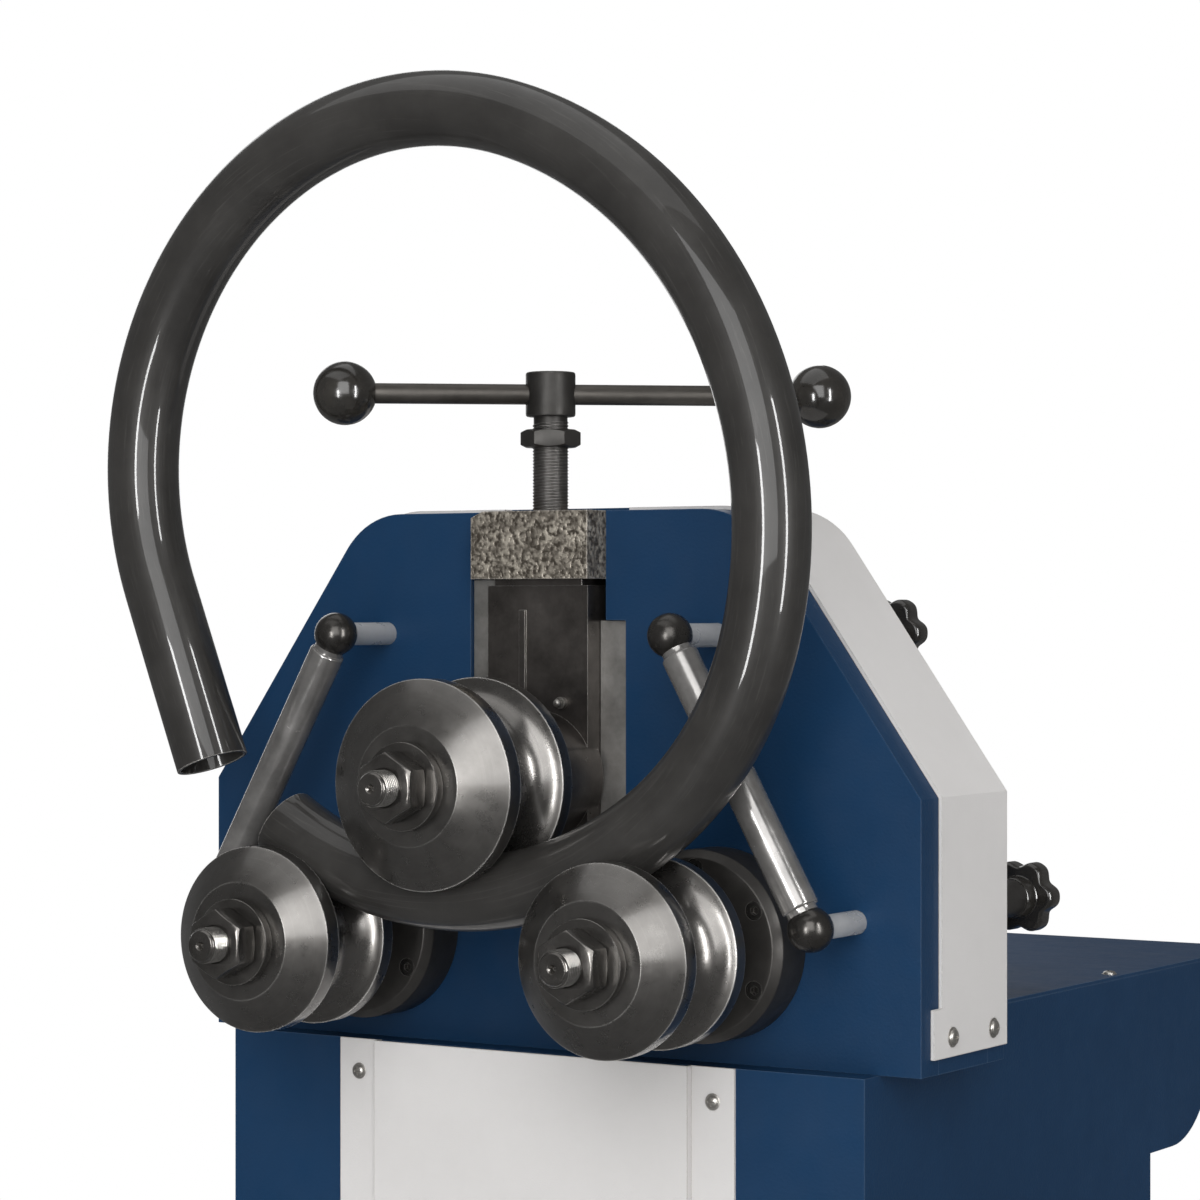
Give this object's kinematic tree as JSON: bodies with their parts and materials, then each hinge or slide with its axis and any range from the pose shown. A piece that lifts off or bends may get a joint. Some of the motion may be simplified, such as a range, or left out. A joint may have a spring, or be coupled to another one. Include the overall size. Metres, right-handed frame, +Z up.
{
  "type": "angle roll bender",
  "caption": "Floor-standing roll bender with a screw-set upper roll, geared lower rolls, slanted guide bars and a bent tube held in its grooved rolls.",
  "frame": {"origin": "on the floor, in the head's middle plane and in line with the front plate's face", "axes": "+X to the operator's right across the head, +Y to the rear along the roll shafts, +Z up along the screw"},
  "size_m": [0.666, 0.974, 1.53],
  "materials": {
    "blue_paint": "satin dark blue machine enamel",
    "pale_paint": "light grey powder coat",
    "hammertone_iron": "grey hammertone on cast iron",
    "dark_steel": "oiled dark steel, turned",
    "bright_steel": "ground and polished",
    "bronze": "turned bronze",
    "black_plastic": "glossy black moulding",
    "tube_steel": "drawn tube with dark mill scale"
  },
  "bodies": {
    "frame": {"base_cabinet": "blue_paint", "base_front_panel": "pale_paint", "panel_screws": "dark_steel", "rear_lid": "blue_paint", "lid_screws": "dark_steel", "head_front_plate": "blue_paint", "head_rear_plate": "blue_paint", "head_tie_bars": "dark_steel", "head_foot_bars": "dark_steel", "head_bolts": "dark_steel", "side_cover_right": "pale_paint", "side_cover_left": "pale_paint", "cover_screws": "dark_steel", "top_bridge": "pale_paint", "nut_block": "hammertone_iron", "spindle_nut": "bronze", "gibs_left": "bright_steel", "gibs_right": "bright_steel", "bearing_housing_left": "dark_steel", "bearing_housing_right": "dark_steel", "housing_screws": "dark_steel", "lower_bushes": "bronze", "rear_bearing_caps": "hammertone_iron", "idler_axle": "bright_steel", "gearbox": "hammertone_iron", "motor": "black_plastic", "guide_sleeves": "bright_steel"},
    "carriage": {"slide_block": "dark_steel", "keeper_plate": "dark_steel", "keeper_screws": "dark_steel", "upper_bushes": "bronze", "grease_nipple": "bright_steel"},
    "upper_roll_set": {"upper_shaft": "dark_steel", "upper_roll": "dark_steel", "upper_roll_nuts": "dark_steel"},
    "lower_left_set": {"lower_left_shaft": "dark_steel", "lower_left_roll": "dark_steel", "lower_left_nuts": "dark_steel", "lower_left_gear": "bright_steel"},
    "lower_right_set": {"lower_right_shaft": "dark_steel", "lower_right_roll": "dark_steel", "lower_right_nuts": "dark_steel", "lower_right_gear": "bright_steel"},
    "idler": {"idler_gear": "bright_steel"},
    "pinion": {"drive_pinion": "bright_steel"},
    "screw": {"spindle": "dark_steel", "handle_hub": "dark_steel"},
    "handle_bar": {"tee_bar": "dark_steel", "ball_knob_left": "black_plastic", "ball_knob_right": "black_plastic"},
    "jam_nut": {"lock_nut": "dark_steel"},
    "guide_left": {"guide_bar_left": "dark_steel", "guide_rods_left": "bright_steel"},
    "guide_right": {"guide_bar_right": "dark_steel", "guide_rods_right": "bright_steel"},
    "knob_upper_left": {"star_knob_upper_left": "black_plastic"},
    "knob_lower_left": {"star_knob_lower_left": "black_plastic"},
    "knob_upper_right": {"star_knob_upper_right": "black_plastic"},
    "knob_lower_right": {"star_knob_lower_right": "black_plastic"},
    "workpiece": {"bent_tube": "tube_steel"}
  },
  "joints": [
    {"name": "tube_feed", "type": "hinge", "parent": "frame", "child": "workpiece", "pos_m": [0, -0.128, 1.20239], "axis": [0, 1, 0], "range_deg": [-5, 20]},
    {"name": "lower_left_roll_spin", "type": "hinge", "parent": "frame", "child": "lower_left_set", "pos_m": [-0.157, -0.128, 0.871], "axis": [0, 1, 0], "continuous": true},
    {"name": "lower_right_roll_spin", "type": "hinge", "parent": "frame", "child": "lower_right_set", "pos_m": [0.157, -0.128, 0.871], "axis": [0, 1, 0], "continuous": true},
    {"name": "upper_roll_spin", "type": "hinge", "parent": "carriage", "child": "upper_roll_set", "pos_m": [0, -0.128, 0.99309], "axis": [0, 1, 0], "continuous": true},
    {"name": "idler_spin", "type": "hinge", "parent": "frame", "child": "idler", "pos_m": [0, 0.052, 0.84016], "axis": [0, 1, 0], "continuous": true},
    {"name": "pinion_spin", "type": "hinge", "parent": "frame", "child": "pinion", "pos_m": [0, 0.052, 0.72016], "axis": [0, 1, 0], "continuous": true},
    {"name": "carriage_slide", "type": "slide", "parent": "frame", "child": "carriage", "axis": [0, 0, 1], "range_m": [0, 0.02]},
    {"name": "spindle_turn", "type": "hinge", "parent": "carriage", "child": "screw", "pos_m": [0, 0.005, 1.2], "axis": [0, 0, 1], "range_deg": [0, 1440]},
    {"name": "bar_slide", "type": "slide", "parent": "screw", "child": "handle_bar", "axis": [0.766, 0.6428, 0], "range_m": [-0.1685, 0.1155]},
    {"name": "lock_nut_travel", "type": "slide", "parent": "screw", "child": "jam_nut", "axis": [0, 0, 1], "range_m": [-0.0495, 0.0095]},
    {"name": "guide_left_slide", "type": "slide", "parent": "frame", "child": "guide_left", "axis": [0, 1, 0], "range_m": [0, 0.03]},
    {"name": "guide_right_slide", "type": "slide", "parent": "frame", "child": "guide_right", "axis": [0, 1, 0], "range_m": [0, 0.03]},
    {"name": "knob_upper_left_turn", "type": "hinge", "parent": "guide_left", "child": "knob_upper_left", "pos_m": [-0.1535, 0.262, 1.104], "axis": [0, 1, 0], "continuous": true},
    {"name": "knob_lower_left_turn", "type": "hinge", "parent": "guide_left", "child": "knob_lower_left", "pos_m": [-0.272, 0.262, 0.892], "axis": [0, 1, 0], "continuous": true},
    {"name": "knob_upper_right_turn", "type": "hinge", "parent": "guide_right", "child": "knob_upper_right", "pos_m": [0.1535, 0.262, 1.104], "axis": [0, 1, 0], "continuous": true},
    {"name": "knob_lower_right_turn", "type": "hinge", "parent": "guide_right", "child": "knob_lower_right", "pos_m": [0.272, 0.262, 0.892], "axis": [0, 1, 0], "continuous": true}
  ],
  "couplings": [
    {"joint": "lower_left_roll_spin", "follows": "tube_feed", "ratio": -6.9372},
    {"joint": "lower_right_roll_spin", "follows": "tube_feed", "ratio": -6.9372},
    {"joint": "upper_roll_spin", "follows": "tube_feed", "ratio": 4.8616},
    {"joint": "idler_spin", "follows": "tube_feed", "ratio": 6.9372},
    {"joint": "pinion_spin", "follows": "tube_feed", "ratio": -13.874},
    {"joint": "spindle_turn", "follows": "carriage_slide", "rad_per_m": 1256.6}
  ]
}
